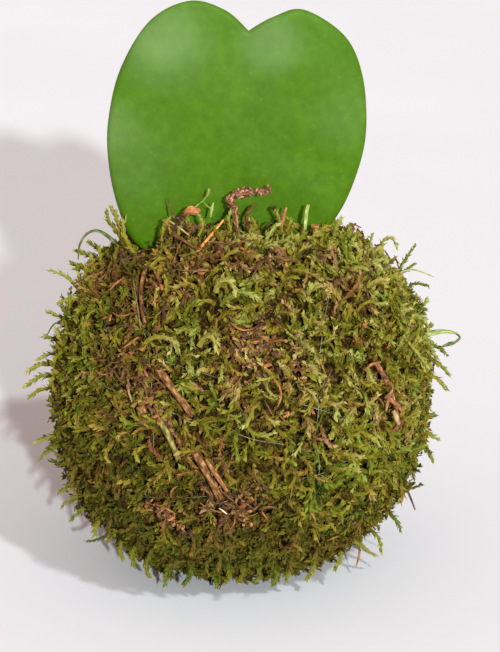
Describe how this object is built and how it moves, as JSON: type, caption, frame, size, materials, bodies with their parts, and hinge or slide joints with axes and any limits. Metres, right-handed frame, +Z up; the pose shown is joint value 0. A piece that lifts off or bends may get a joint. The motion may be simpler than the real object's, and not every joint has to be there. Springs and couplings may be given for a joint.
{
  "type": "kokedama moss ball plant",
  "caption": "Ball of living moss bound round soil with clear thread, with a thick heart-shaped succulent leaf standing in its top.",
  "frame": {"origin": "middle of the flat spot that the moss ball rests on", "axes": "+Z up through the ball and the leaf, the leaf's face towards -Y, the leaf's right edge towards +X"},
  "size_m": [0.1067, 0.1108, 0.1431],
  "materials": {
    "moss": "matte, feathery moss",
    "soil": "moist crumbly soil",
    "leaf": "waxy satin succulent leaf",
    "thread": "clear nylon thread",
    "bark": "dry striated bark",
    "straw": "dry straw"
  },
  "bodies": {
    "root": {"moss_coat": "moss", "soil_ball": "soil", "heart_leaf": "leaf", "binding_thread": "thread", "twig_front_upper": "bark", "twig_front_lower": "bark", "straw_front": "straw", "rootlet_front": "bark", "twig_right": "bark", "twig_back_upper": "bark", "twig_back_lower": "bark", "straw_left": "straw", "straw_back_right": "straw", "needle_front": "straw", "dry_sprig": "bark"}
  },
  "joints": []
}
